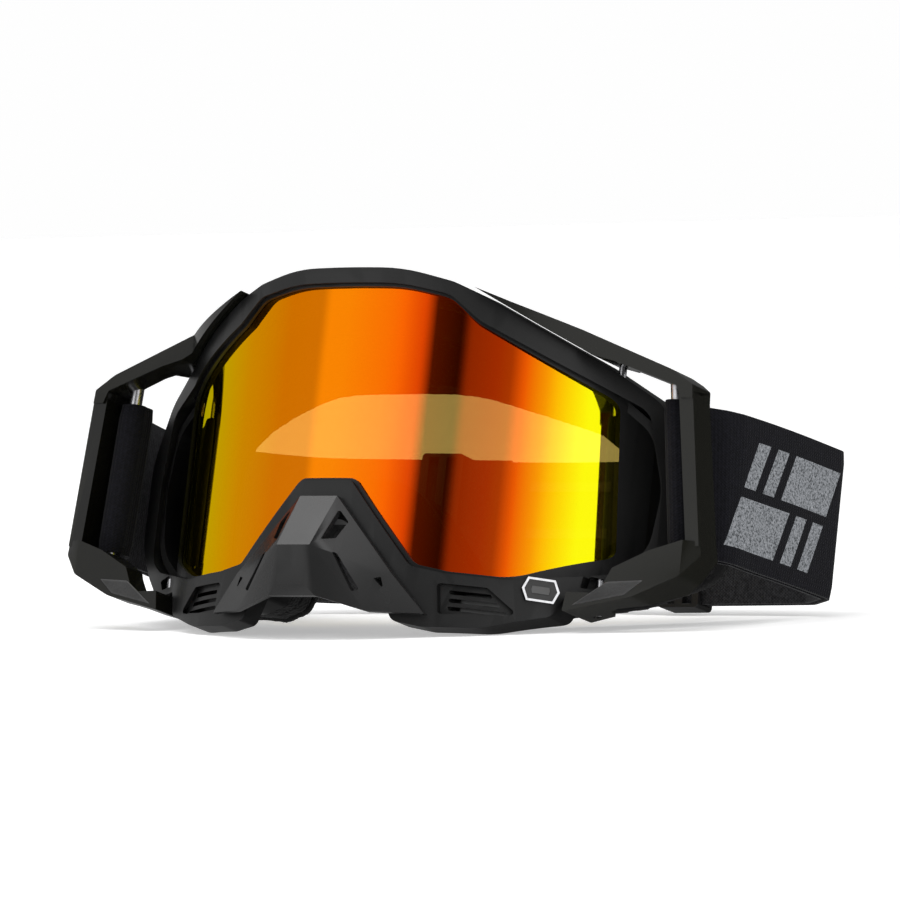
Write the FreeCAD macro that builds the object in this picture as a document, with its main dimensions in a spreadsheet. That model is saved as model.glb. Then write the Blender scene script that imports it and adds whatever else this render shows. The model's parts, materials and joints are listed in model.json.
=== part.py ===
"""Off-road goggles: curved lens in a moulded frame, swinging strap outriggers,
clip-on nose guard, three-layer face foam and an elastic head strap.

Every piece is drawn upright, with the axis of the lens cylinder on Z and the
lens facing -Y.  The last step leans the whole set back, the way the goggles
stand on a table, and puts the origin under the middle of the bounding box.
"""
import FreeCAD, Part
import math
import os

import Sketcher
from FreeCAD import Placement, Rotation, Vector

os.makedirs("parts", exist_ok=True)
doc = FreeCAD.newDocument("goggles")

# ---------------------------------------------------------------- driving sizes
SIZES = {
    "lean_angle": 15,
    "lens_radius": 87, "lens_thickness": 1.2, "lens_lap": 3.2, "groove_gap": 0.2,
    "rim_radius": 90, "rim_depth": 8, "rim_arc": 50, "rim_half_width": 96, "rim_side_y": -34,
    "recess_radius": 88.4,
    "face_radius": 95, "face_centre_y": 45, "flange_thickness": 2,
    "fleece_thickness": 2, "foam_thickness": 6, "foam_width": 12, "skirt_wall": 2.5,
    "pivot_x": 74, "pivot_y": -50.6, "pivot_radius": 1.2, "pivot_gap": 0.05,
    "arm_radius": 93, "arm_depth": 6.5,
    "upper_pin_base": 5, "upper_pin_length": 12.6,
    "lower_pin_base": -61.8, "lower_pin_length": 11.6,
    "strap_width": 45, "strap_top": 2.4, "strap_thickness": 1.8,
    "strap_rod_radius": 2, "strap_roll_radius": 4.4, "tail_offset": 2.4, "grip_thickness": 0.6,
    "guard_thickness": 2.2, "peg_radius": 1.5, "peg_gap": 0.08,
    "peg_x": 25, "peg_z": -61, "peg_length": 7,
    "badge_width": 11.5, "badge_height": 7, "badge_thickness": 1, "badge_angle": 43.6, "badge_z": -57.2,
    "slider_width": 14, "slider_height": 48, "slider_thickness": 8.4, "slider_slot": 5.4,
    "slider_slot_height": 45.6, "slider_right_x": 60, "slider_left_x": -28,
    "vent_pad": 2,
}

sheet = doc.addObject("Spreadsheet::Sheet", "Sizes")
for row, (alias, value) in enumerate(SIZES.items(), start=1):
    sheet.set("A%d" % row, alias)
    sheet.set("B%d" % row, str(value))
    sheet.setAlias("B%d" % row, alias)
doc.recompute()


def size(alias):
    """A driving size, read back from the sheet."""
    return float(getattr(sheet, alias))


# ------------------------------------------------------------- outline helpers
def mirrored(half):
    """Closed outline from its right half, listed from the top round to the bottom."""
    left = [(-x, z, r) for x, z, r in reversed(half) if abs(x) > 0.01]
    return list(half) + left


def rounded_edges(points, closed=True):
    """Straight edges between points (Vector, radius), with an arc of that radius at each."""
    count = len(points)
    corners = []
    for i, (corner, radius) in enumerate(points):
        if not closed and i in (0, count - 1):
            corners.append((corner, None, corner))
            continue
        before = (points[i - 1][0] - corner)
        after = (points[(i + 1) % count][0] - corner)
        turn = before.getAngle(after)
        reach = radius / math.tan(turn / 2) if radius > 0 and turn < math.pi - 1e-3 else 0
        if reach < 1e-4:
            corners.append((corner, None, corner))
            continue
        reach = min(reach, 0.48 * before.Length, 0.48 * after.Length)
        before.normalize()
        after.normalize()
        start = corner + before * reach
        end = corner + after * reach
        bisector = (before + after).normalize()
        real_radius = reach * math.tan(turn / 2)
        middle = corner + bisector * (real_radius / math.sin(turn / 2) - real_radius)
        corners.append((start, middle, end))
    edges = []
    for i, (start, middle, end) in enumerate(corners):
        if middle is not None:
            edges.append(Part.Arc(start, middle, end).toShape())
        if closed or i < count - 1:
            following = corners[(i + 1) % count][0]
            if (following - end).Length > 1e-4:
                edges.append(Part.makeLine(end, following))
    return edges


def front_wire(points, y):
    """Closed wire in the front elevation, from (x, z, corner radius) points."""
    return Part.Wire(rounded_edges([(Vector(x, y, z), r) for x, z, r in points]))


FRONT_Y = -130
REACH_Y = 220


def front_prism(points):
    """Outline of the front elevation, carried right through the goggles along Y."""
    return Part.Face(front_wire(points, FRONT_Y)).extrude(Vector(0, REACH_Y, 0))


def inset_prism(points, inset):
    """As front_prism, with the outline moved in by inset, or out where it is negative."""
    wire = front_wire(points, FRONT_Y).makeOffset2D(-inset, 0, False, False)
    return Part.Face(wire).extrude(Vector(0, REACH_Y, 0))


PLAN_Z = -100
PLAN_RISE = 160


def plan_prism(edges):
    """Closed plan-view outline, carried up past the goggles along Z."""
    return Part.Face(Part.Wire(Part.__sortEdges__(edges))).extrude(Vector(0, 0, PLAN_RISE))


def plan(x, y):
    return Vector(x, y, PLAN_Z)


def polar(radius, degrees):
    """Plan point on a circle about the lens axis, counted from straight ahead."""
    angle = math.radians(degrees)
    return plan(radius * math.sin(angle), -radius * math.cos(angle))


def arc_edge(radius, from_degrees, to_degrees):
    middle = (from_degrees + to_degrees) / 2
    return Part.Arc(polar(radius, from_degrees), polar(radius, middle), polar(radius, to_degrees)).toShape()


def line_edges(*points):
    return [Part.makeLine(a, b) for a, b in zip(points, points[1:])]


def box_between(low, high):
    low, high = Vector(*low), Vector(*high)
    return Part.makeBox(high.x - low.x, high.y - low.y, high.z - low.z, low)


def rod(radius, base, top):
    """Round bar from base to top."""
    run = top - base
    return Part.makeCylinder(radius, run.Length, base, run)


def both_sides(shape):
    return [shape, shape.mirror(Vector(0, 0, 0), Vector(1, 0, 0))]


def add_shape(label, shape):
    """Sub-part whose shape is worked out here from the sheet's sizes."""
    piece = doc.addObject("Part::Feature", label)
    piece.Shape = shape
    piece.Label = label
    return piece


# ------------------------------------------------------- front-elevation outlines
# Right halves, from the top of the brow to the nose: (x, z, corner radius).
APERTURE = mirrored([
    (18, 29.6, 60), (32, 27, 8), (40, 20, 10), (73.5, 2.5, 5), (75.5, -43.5, 4),
    (54.5, -54.5, 18), (39, -54.5, 12), (29.5, -53, 5), (9, -28.3, 3)])
RECESS = mirrored([
    (18, 30.4, 60), (32.4, 27.8, 8), (41, 20.6, 10), (82, 0.5, 6), (86.5, -20, 30), (87, -44, 7),
    (80, -48.5, 6), (55, -55.4, 18), (39, -55.4, 12), (29, -54, 5), (8.6, -29.2, 3)])
RIM = mirrored([
    (18, 35, 60), (33, 31.7, 10), (42, 28, 5), (70, 13.2, 20), (84, 4, 14), (95, -12, 18),
    (96, -38, 16), (88, -49, 8), (81, -56, 1), (68, -56.6, 1), (65, -64.4, 3), (49, -70.6, 20),
    (34, -71.8, 8), (25.4, -70.6, 3),
    (19, -57, 12), (8.5, -41, 5)])
SKIRT = mirrored([
    (18, 33, 50), (33, 28.5, 10), (42, 23.5, 8), (68, 9, 20), (84, -4, 14), (88, -22, 25),
    (86, -42, 16), (72, -54, 16), (52, -61, 20), (35, -63.5, 8), (26, -61, 5), (19, -50, 12),
    (9, -37, 6)])
# Eye opening of the face foam, below the forehead pad.
BROW = mirrored([(24, 5.4, 60), (54, -2, 25), (95, -14, 5), (95, -80, 1)])


def rim_band(front_radius, depth):
    """Plan of the rim: an arc across the front, then straight cheeks to the sides."""
    bend = size("rim_arc")
    side = plan(size("rim_half_width"), size("rim_side_y"))
    front_bend = polar(front_radius, bend)
    back_bend = polar(front_radius - depth, bend)
    run = (side - front_bend).normalize()
    inward = Vector(-run.y, run.x, 0)
    side_back = side + inward * depth
    left = [Vector(-p.x, p.y, p.z) for p in (front_bend, side, side_back, back_bend)]
    edges = [arc_edge(front_radius, -bend, bend), arc_edge(front_radius - depth, -bend, bend)]
    edges += line_edges(front_bend, side, side_back, back_bend)
    edges += line_edges(*left)
    return plan_prism(edges)


def face_shell(inner_offset, outer_offset):
    """Upright shell about the wearer's face, between two offsets from the skin."""
    centre = plan(0, size("face_centre_y"))
    outer = Part.makeCylinder(size("face_radius") + outer_offset, PLAN_RISE, centre)
    inner = Part.makeCylinder(size("face_radius") + inner_offset, PLAN_RISE, centre)
    front_half = box_between((-130, -130, PLAN_Z), (130, size("face_centre_y"), PLAN_Z + PLAN_RISE))
    return outer.cut(inner).common(front_half)


def foam_stack():
    """Offsets from the skin of the fleece, the two foams and the flange, outwards."""
    fleece = size("fleece_thickness")
    middle = fleece + size("foam_thickness")
    base = middle + size("foam_thickness")
    return fleece, middle, base, base + size("flange_thickness")


# ------------------------------------------------------------------------ frame
def pivot(z):
    return Vector(size("pivot_x"), size("pivot_y"), z)


TOP_VENTS = ((-46, -20), (-13, 13), (20, 46))
BOTTOM_VENTS = ((33, 56),)
CHEEK_SLOTS = 3


def skirt_body():
    """Side walls from the rim back to the face flange."""
    wall = front_prism(SKIRT).cut(inset_prism(SKIRT, size("skirt_wall")))
    flange_offset = foam_stack()[3]
    in_front = face_shell(flange_offset - 0.4, 60)
    behind_rim = rim_band(size("rim_radius") - size("rim_depth") + 1.5, 70)
    return wall.common(in_front).common(behind_rim)


def flange_body():
    ring = front_prism(SKIRT).cut(inset_prism(SKIRT, size("foam_width") + 1))
    return ring.common(face_shell(foam_stack()[2], foam_stack()[3]))


def skirt_gap(margin):
    """Upright space between the rim's back and the flange, less a margin at each."""
    behind_rim = Part.makeCylinder(size("rim_radius") - size("rim_depth") - margin, PLAN_RISE, plan(0, 0))
    face = Part.makeCylinder(size("face_radius") + foam_stack()[3] + margin, PLAN_RISE,
                             plan(0, size("face_centre_y")))
    return behind_rim.cut(face)


def vent_cuts():
    """Windows through the top and bottom of the skirt, between rim and flange."""
    windows = [box_between((low, -90, 15), (high, -40, 45)) for low, high in TOP_VENTS]
    for low, high in BOTTOM_VENTS:
        windows += both_sides(box_between((low, -90, -75), (high, -40, -52)))
    gap = skirt_gap(2)
    return [window.common(gap) for window in windows]


def cheek_vents():
    """Sunk panel on each cheek beside the nose, with slots through it."""
    panel = front_prism([(37, -58.4, 1), (50, -58.4, 1), (58, -65.4, 1), (38, -67.6, 1)])
    sink = panel.common(rim_band(size("rim_radius") + 4, 5.6))
    cuts = both_sides(sink)
    for i in range(CHEEK_SLOTS):
        top = -60 - 2.4 * i
        slot = front_prism([(39.5, top, 0.4), (50 + 2 * i, top, 0.4),
                            (51 + 2 * i, top - 1.2, 0.4), (40, top - 1.2, 0.4)])
        cuts += both_sides(slot.common(rim_band(size("rim_radius") + 4, 20)))
    return cuts


def outboard_vent():
    """Triangular foam-backed opening inboard of the tip of each lower arm."""
    hole = front_prism([(71, -50.6, 0.5), (78.6, -51.4, 0.5), (77, -54.4, 0.5), (70.4, -54.6, 0.5)])
    return hole.common(rim_band(size("rim_radius") + 4, 6.5))


def make_frame():
    rim = front_prism(RIM).cut(front_prism(APERTURE)).common(rim_band(size("rim_radius"), size("rim_depth")))
    recess_front = front_prism(RECESS).cut(
        Part.makeCylinder(size("recess_radius"), PLAN_RISE, plan(0, 0)))
    ahead = box_between((-130, -130, PLAN_Z), (130, 0, PLAN_Z + PLAN_RISE))
    rim = rim.cut(recess_front.common(ahead))
    gap = size("groove_gap")
    groove_tube = Part.makeCylinder(size("lens_radius") + gap, PLAN_RISE, plan(0, 0)).cut(
        Part.makeCylinder(size("lens_radius") - size("lens_thickness") - gap, PLAN_RISE, plan(0, 0)))
    groove = inset_prism(APERTURE, -size("lens_lap") - gap).common(groove_tube)
    frame = rim.fuse([skirt_body(), flange_body()])
    bore_radius = size("pivot_radius") + size("pivot_gap")
    bores = []
    for base, length in (("upper_pin_base", "upper_pin_length"), ("lower_pin_base", "lower_pin_length")):
        low = size(base) - 0.2
        bores += both_sides(rod(bore_radius, pivot(low), pivot(low + size(length) + 0.4)))
    peg_hole = rod(size("peg_radius") + size("peg_gap"), Vector(size("peg_x"), -100, size("peg_z")),
                   Vector(size("peg_x"), -78, size("peg_z")))
    cuts = [groove] + bores + both_sides(peg_hole) + vent_cuts() + cheek_vents()
    cuts += both_sides(outboard_vent())
    frame = frame.cut(cuts)
    return add_shape("frame", largest_solid(frame))


def largest_solid(shape):
    return max(shape.Solids, key=lambda solid: solid.Volume)


# ------------------------------------------------------------------- lens, foams
def bound(piece, prop, expression):
    piece.setExpression(prop, expression)
    return piece


def tube(name, inner, outer, centre_y="0"):
    """Upright tube whose radii and centre are bound to the sheet."""
    solids = []
    for part_name, radius in (("outer", outer), ("inner", inner)):
        cylinder = doc.addObject("Part::Cylinder", "%s_%s" % (name, part_name))
        bound(cylinder, "Radius", radius)
        cylinder.Height = PLAN_RISE
        cylinder.Placement.Base = Vector(0, 0, PLAN_Z)
        bound(cylinder, "Placement.Base.y", centre_y)
        solids.append(cylinder)
    ring = doc.addObject("Part::Cut", name + "_tube")
    ring.Base, ring.Tool = solids
    return ring


def curved_panel(label, ring, prism):
    """The stretch of an upright tube that lies inside a front-elevation prism."""
    outline = doc.addObject("Part::Feature", label + "_outline")
    outline.Shape = prism
    panel = doc.addObject("Part::Common", label)
    panel.Base = ring
    panel.Tool = outline
    panel.Label = label
    return panel


def make_lens():
    ring = tube("lens_sheet", "Sizes.lens_radius - Sizes.lens_thickness", "Sizes.lens_radius")
    ahead = box_between((-130, -130, PLAN_Z), (130, 0, PLAN_Z + PLAN_RISE))
    return curved_panel("lens", ring, inset_prism(APERTURE, -size("lens_lap")).common(ahead))


def make_foams():
    layers = {
        "face_fleece": ("0", "Sizes.fleece_thickness", 0.4),
        "face_foam_middle": ("Sizes.fleece_thickness",
                             "Sizes.fleece_thickness + Sizes.foam_thickness", 1.0),
        "face_foam_base": ("Sizes.fleece_thickness + Sizes.foam_thickness",
                           "Sizes.fleece_thickness + 2 * Sizes.foam_thickness", 0.4),
    }
    ahead = box_between((-130, -130, PLAN_Z), (130, size("face_centre_y"), PLAN_Z + PLAN_RISE))
    opening = inset_prism(SKIRT, size("foam_width")).common(front_prism(BROW))
    for label, (inner, outer, inset) in layers.items():
        ring = tube(label, "Sizes.face_radius + " + inner, "Sizes.face_radius + " + outer,
                    "Sizes.face_centre_y")
        outline = inset_prism(SKIRT, inset).cut(opening)
        curved_panel(label, ring, outline.common(ahead))


def make_vent_pads():
    """Thin filter foams inside the skirt, behind its windows."""
    wall = size("skirt_wall") + 0.1
    band = inset_prism(SKIRT, wall).cut(inset_prism(SKIRT, wall + size("vent_pad")))
    band = band.common(skirt_gap(0.5))
    top = band.common(box_between((-50, -90, 5), (50, -40, 45)))
    add_shape("vent_foam_top", largest_solid(top))
    for side, name in ((1, "right"), (-1, "left")):
        low, high = sorted((side * 31, side * 58))
        pad = band.common(box_between((low, -90, -75), (high, -40, -50)))
        add_shape("vent_foam_lower_" + name, largest_solid(pad))


# --------------------------------------------------------------------- outriggers
UPPER_ARM = [(40, 30, 0), (50, 26.6, 3), (67, 21.2, 6), (96, 10, 8), (102.8, 5.6, 1),
             (103.2, 1.5, 0), (99.5, 1.5, 0), (97.8, 5.2, 1), (78, 12, 3), (70.5, 13.8, 1), (57.5, 20.6, 2)]
LOWER_ARM = [(69.6, -63.2, 0.4), (90, -58, 6), (104, -51, 4), (109, -44.6, 1), (108.3, -40.5, 0),
             (103.8, -40.5, 0), (94, -44, 4), (83.5, -49.6, 1), (80, -57.3, 0.5), (70.4, -57.3, 0.4)]
BAR_TOP = ((98.2, -59.6), (102.8, -59.6), (102.8, -49), (98.2, -49))
BAR_FOOT = ((104, -56.4), (108.4, -56.4), (108.4, -45), (104, -45))
BAR_TOP_Z = 5.2
BAR_FOOT_Z = -42
ROD_TOP = Vector(93.1, -51.4, 8)
ROD_FOOT = Vector(98.8, -47.6, -45)


def arm_plan(front_radius, side_front, side_back):
    """Plan of an arm: hugging the rim near the nose end, standing off at the bar."""
    inner_radius = front_radius - size("arm_depth")
    front_bend = polar(front_radius, 46)
    inner_bend = polar(inner_radius, 46)
    edges = [arc_edge(front_radius, 24, 46), arc_edge(inner_radius, 24, 46)]
    edges += line_edges(front_bend, plan(104, side_front), plan(113, side_front + 5),
                        plan(113, side_back), plan(103.8, side_back), plan(99, side_back + 3),
                        plan(92, side_back - 2),
                        plan(82.5, -53), plan(79.4, -52.6), plan(77.8, -46.8), plan(70.4, -47.2),
                        inner_bend)
    edges += line_edges(polar(front_radius, 24), polar(inner_radius, 24))
    return plan_prism(edges)


def bar_loft():
    def section(corners, z):
        return Part.makePolygon([Vector(x, y, z) for x, y in corners + corners[:1]])
    return Part.makeLoft([section(BAR_FOOT, BAR_FOOT_Z), section(BAR_TOP, BAR_TOP_Z)], True, True)


def strap_rod_axis():
    run = (ROD_TOP - ROD_FOOT).normalize()
    return ROD_FOOT, run, (ROD_TOP - ROD_FOOT).Length


def outrigger_shape():
    upper = front_prism(UPPER_ARM).common(arm_plan(size("arm_radius"), -59.6, -49))
    lower = front_prism(LOWER_ARM).common(arm_plan(size("arm_radius") + 0.6, -58.2, -45))
    body = upper.fuse([lower, bar_loft()])
    bore = size("pivot_radius") + size("pivot_gap")
    body = body.cut(rod(bore, pivot(-70), pivot(40)))
    foot, run, length = strap_rod_axis()
    body = body.cut(Part.makeCylinder(size("strap_rod_radius"), length, foot, run))
    return largest_solid(body)


def make_outriggers():
    for shape, side in zip(both_sides(outrigger_shape()), ("right", "left")):
        add_shape("outrigger_" + side, shape)
    foot, run, length = strap_rod_axis()
    rod_shape = Part.makeCylinder(size("strap_rod_radius"), length, foot, run)
    for shape, side in zip(both_sides(rod_shape), ("right", "left")):
        add_shape("strap_rod_" + side, shape)


def make_pivot_pins():
    """Turned pins, each a padded circle in a body of its own."""
    for level in ("upper", "lower"):
        for side, sign in (("right", 1), ("left", -1)):
            label = "pivot_pin_%s_%s" % (level, side)
            body = doc.addObject("PartDesign::Body", label)
            sketch = body.newObject("Sketcher::SketchObject", label + "_sketch")
            floor = [f for f in body.Origin.OriginFeatures if f.Role == "XY_Plane"][0]
            sketch.AttachmentSupport = [(floor, "")]
            sketch.MapMode = "FlatFace"
            circle = Part.Circle(Vector(sign * size("pivot_x"), size("pivot_y"), 0), Vector(0, 0, 1), 1)
            sketch.addGeometry(circle, False)
            sketch.addConstraint(Sketcher.Constraint("Radius", 0, size("pivot_radius")))
            sketch.setExpression("Constraints[0]", "Sizes.pivot_radius")
            bound(sketch, "AttachmentOffset.Base.z", "Sizes.%s_pin_base" % level)
            pad = body.newObject("PartDesign::Pad", label + "_pad")
            pad.Profile = sketch
            bound(pad, "Length", "Sizes.%s_pin_length" % level)
            body.Tip = pad
            body.Label = label


# --------------------------------------------------------------------- nose guard
PLATE_TOP = (6.3, -92.6, -34.6)
PLATE_FOOT = (5.6, -104, -51.6)
BEAK_FOOT = (4.6, -103.4, -63.2)
BEAK_SIDE = (8, -102, -66.4)
CHEEK_FOOT = (22, -95.5, -69.6)
CHEEK_TOP = (26.5, -90.4, -57.6)
CHEEK_TIP = (36, -86, -68.4)
GUARD_WINDOWS = (
    [(8.2, -38.8, 0.4), (11.6, -42.6, 0.4), (10.6, -48.4, 0.4), (7.4, -49.4, 0.4)],
    [(11, -52.6, 0.5), (12.6, -53.4, 0.5), (19.4, -63.4, 0.5), (17.6, -64.2, 0.5)],
    [(22.2, -59.4, 0.3), (24, -58.8, 0.3), (25.2, -62.6, 0.3)],
)


def guard_prism(corners):
    """Flat facet of the guard, thickened straight back along Y."""
    wire = Part.makePolygon([Vector(*c) for c in corners + corners[:1]])
    return Part.Face(wire).extrude(Vector(0, size("guard_thickness"), 0))


def make_nose_guard():
    def opposite(corner):
        return (-corner[0], corner[1], corner[2])
    side_facets = (
        [PLATE_TOP, PLATE_FOOT, CHEEK_TOP],
        [PLATE_FOOT, CHEEK_FOOT, CHEEK_TOP],
        [PLATE_FOOT, BEAK_SIDE, CHEEK_FOOT],
        [PLATE_FOOT, BEAK_FOOT, BEAK_SIDE],
        [CHEEK_TOP, CHEEK_FOOT, CHEEK_TIP],
    )
    solids = [
        guard_prism([opposite(PLATE_TOP), PLATE_TOP, PLATE_FOOT, opposite(PLATE_FOOT)]),
        guard_prism([opposite(PLATE_FOOT), PLATE_FOOT, BEAK_FOOT, opposite(BEAK_FOOT)]),
        guard_prism([opposite(BEAK_FOOT), BEAK_FOOT, BEAK_SIDE, opposite(BEAK_SIDE)]),
    ]
    for facet in side_facets:
        solids += both_sides(guard_prism(facet))
    guard = solids[0].fuse(solids[1:])
    for window in GUARD_WINDOWS:
        guard = guard.cut(both_sides(front_prism(window)))
    peg_start = Vector(size("peg_x"), -90.2, size("peg_z"))
    peg = rod(size("peg_radius"), peg_start, peg_start + Vector(0, size("peg_length"), 0))
    guard = guard.fuse(both_sides(peg)).removeSplitter()
    add_shape("nose_guard", largest_solid(guard))


# --------------------------------------------------------------------------- strap
# Plan of the strap's centre line, from behind the right bar, round the fold and
# across the back to the left bar: (x, y, bend radius).
STRAP_LINE = [(107, -33, 0), (111.4, -6, 220), (113.6, 17.6, 4.2), (104.4, 25.2, 4.2), (12, 31, 200),
              (-74, 25, 60), (-106, 4, 30), (-104.5, -33, 0)]
TAIL_RIGHT_END = 34
TAIL_LEFT_END = -3
GRIP_FROM, GRIP_TO = 1, 29
GRIP_ROWS = (-36, -21.5, -7)
GRIP_HEIGHT = 3


def offset_line(points, shift):
    """The strap line moved sideways, with each bend's radius kept about its centre."""
    moved = []
    for i, (x, y, radius) in enumerate(points):
        here = Vector(x, y, 0)
        runs = []
        if i > 0:
            runs.append((here - Vector(*points[i - 1][:2], 0)).normalize())
        if i < len(points) - 1:
            runs.append((Vector(*points[i + 1][:2], 0) - here).normalize())
        normals = [Vector(-run.y, run.x, 0) for run in runs]
        total = normals[0] + normals[-1]
        total.multiply(2 * shift / total.dot(total))
        turn_left = len(runs) == 2 and runs[0].cross(runs[1]).z > 0
        new_radius = max(radius - shift if turn_left else radius + shift, 0) if radius else 0
        moved.append((here.x + total.x, here.y + total.y, new_radius))
    return moved


def ribbon(points, shift, thickness):
    """Upright webbing of the strap's width along an open plan line."""
    top = size("strap_top")
    z = top - size("strap_width")
    sides = []
    for offset in (shift - thickness / 2, shift + thickness / 2):
        moved = offset_line(points, offset)
        sides.append(Part.Wire(rounded_edges([(Vector(x, y, z), r) for x, y, r in moved], closed=False)))
    ends = [Part.makeLine(sides[0].OrderedVertexes[k].Point, sides[1].OrderedVertexes[k].Point) for k in (0, -1)]
    wire = Part.Wire(Part.__sortEdges__(sides[0].Edges + sides[1].Edges + ends))
    return Part.Face(wire).extrude(Vector(0, 0, size("strap_width")))


def back_run_point(x):
    """Strap-line point on the back run at a given x, as an end for a shorter ribbon."""
    spot = strap_spot(x)[0]
    return (spot.x, spot.y, 0)


def make_strap():
    thickness = size("strap_thickness")
    tail = size("tail_offset")
    add_shape("strap_webbing", ribbon(STRAP_LINE, 0, thickness))
    right_line = STRAP_LINE[:4] + [back_run_point(TAIL_RIGHT_END)]
    add_shape("strap_tail_right", ribbon(right_line, tail, thickness))
    left_line = [back_run_point(TAIL_LEFT_END)] + STRAP_LINE[5:]
    add_shape("strap_tail_left", ribbon(left_line, tail, thickness))
    grip_shift = (thickness + size("grip_thickness")) / 2 + 0.02
    band = ribbon(STRAP_LINE, grip_shift, size("grip_thickness"))
    rows = [box_between((GRIP_FROM, 0, z), (GRIP_TO, 60, z + GRIP_HEIGHT)) for z in GRIP_ROWS]
    add_shape("strap_grip_strips", Part.makeCompound([band.common(row) for row in rows]))
    foot, run, length = strap_rod_axis()
    start = foot + run * ((length - size("strap_width")) / 2)
    roll = Part.makeCylinder(size("strap_roll_radius"), size("strap_width"), start, run)
    roll = roll.cut(Part.makeCylinder(size("strap_rod_radius") + 0.05, length, foot, run))
    for shape, side in zip(both_sides(roll), ("right", "left")):
        add_shape("strap_loop_" + side, shape)


def slider_frame():
    """Two-slot adjuster round the webbing, drawn at the origin with the strap along X."""
    half_width = size("slider_width") / 2
    half_thick = size("slider_thickness") / 2
    top = size("strap_top") - size("strap_width") / 2 + size("slider_height") / 2
    body = box_between((-half_width, -half_thick, top - size("slider_height")), (half_width, half_thick, top))
    body = body.makeFillet(1.2, [e for e in body.Edges if abs(e.tangentAt(0).y) > 0.9])
    slot_top = size("strap_top") + (size("slider_slot_height") - size("strap_width")) / 2
    slot = box_between((-half_width - 1, -size("slider_slot") / 2, slot_top - size("slider_slot_height")),
                       (half_width + 1, size("slider_slot") / 2, slot_top))
    window_low = slot_top - size("slider_slot_height")
    windows = [box_between((low, -9, window_low), (high, 9, slot_top)) for low, high in ((-4.6, -1.4), (1.4, 4.6))]
    return body.cut([slot] + windows)


def strap_spot(x):
    """Centre and heading of the strap line's back run at a given x."""
    for (x1, y1, _), (x2, y2, _) in zip(STRAP_LINE[3:], STRAP_LINE[4:]):
        if x2 <= x <= x1:
            share = (x1 - x) / (x1 - x2)
            return Vector(x, y1 + share * (y2 - y1), 0), math.degrees(math.atan2(y1 - y2, x1 - x2))
    raise ValueError("no straight run of strap at x = %g" % x)


def make_sliders():
    """The two adjusters, each with the place where it sits on the strap."""
    places = {}
    for side in ("right", "left"):
        spot, heading = strap_spot(size("slider_%s_x" % side))
        turn = Rotation(Vector(0, 0, 1), heading)
        inward = turn.multVec(Vector(0, -size("tail_offset") / 2, 0))
        piece = add_shape("strap_slider_" + side, slider_frame())
        places[piece.Name] = Placement(spot + inward, turn)
    return places


# ---------------------------------------------------------------------------- badge
def make_badge():
    """Blank six-sided plate on the cheek, a padded hexagon in a body of its own."""
    body = doc.addObject("PartDesign::Body", "hex_badge")
    sketch = body.newObject("Sketcher::SketchObject", "hex_badge_sketch")
    wall = [f for f in body.Origin.OriginFeatures if f.Role == "XZ_Plane"][0]
    sketch.AttachmentSupport = [(wall, "")]
    sketch.MapMode = "FlatFace"
    width, height = size("badge_width") / 2, size("badge_height") / 2
    corners = [(-width, 0), (-width + 1.6, height), (width - 1.6, height), (width, 0),
               (width - 1.6, -height), (-width + 1.6, -height)]
    for a, b in zip(corners, corners[1:] + corners[:1]):
        sketch.addGeometry(Part.LineSegment(Vector(*a, 0), Vector(*b, 0)), False)
    for i in range(6):
        sketch.addConstraint(Sketcher.Constraint("Coincident", i, 2, (i + 1) % 6, 1))
    pad = body.newObject("PartDesign::Pad", "hex_badge_pad")
    pad.Profile = sketch
    bound(pad, "Length", "Sizes.badge_thickness")
    body.Tip = pad
    body.Label = "hex_badge"
    return body


def badge_place():
    """Where the badge lies flat against the rim's front."""
    angle = size("badge_angle")
    spot = polar(size("rim_radius") + 0.15, angle)
    spot.z = size("badge_z")
    return Placement(spot, Rotation(Vector(0, 0, 1), angle))


# --------------------------------------------------------------------------- build
make_frame()
make_lens()
make_foams()
make_vent_pads()
make_outriggers()
make_pivot_pins()
make_nose_guard()
make_strap()
own_places = make_sliders()
own_places[make_badge().Name] = badge_place()
doc.recompute()

helpers = ("_outer", "_inner", "_tube", "_outline")
sub_parts = [o for o in doc.Objects
             if o.TypeId in ("PartDesign::Body", "Part::Common")
             or o.TypeId == "Part::Feature" and not o.Name.endswith(helpers)]

lean = Rotation(Vector(1, 0, 0), -size("lean_angle"))
lean_place = Placement(Vector(), lean)
whole = FreeCAD.BoundBox()
for piece in sub_parts:
    piece.Placement = lean_place.multiply(own_places.get(piece.Name, Placement()))
doc.recompute()
for piece in sub_parts:
    whole.add(piece.Shape.optimalBoundingBox())
shift = Vector(-whole.Center.x, -whole.Center.y, -whole.ZMin)
rest_place = Placement(shift, lean)
for piece in sub_parts:
    piece.Placement = rest_place.multiply(own_places.get(piece.Name, Placement()))
doc.recompute()

for thing in doc.Objects:
    if "Invalid" in thing.State or "Error" in thing.State:
        raise RuntimeError("%s did not build: %s" % (thing.Label, thing.State))
for piece in sub_parts:
    shape = piece.Shape
    if shape.isNull() or not shape.isValid() or not shape.Solids:
        raise RuntimeError("%s has no valid solid" % piece.Label)
    shape.exportStep("parts/%s.step" % piece.Label)
    print("%-26s solids %d volume %8.1f" % (piece.Label, len(shape.Solids), shape.Volume))
print("shift", tuple(round(v, 4) for v in shift), "box", whole)
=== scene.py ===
"""Looks for the off-road goggles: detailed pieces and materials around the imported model.

Places are worked out in the goggles' own frame, in millimetres (lens axis on Z,
lens facing -Y), and carried into the row frame by at().
"""
import json
import math

import bmesh
import bpy
from mathutils import Matrix, Vector, noise


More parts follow.
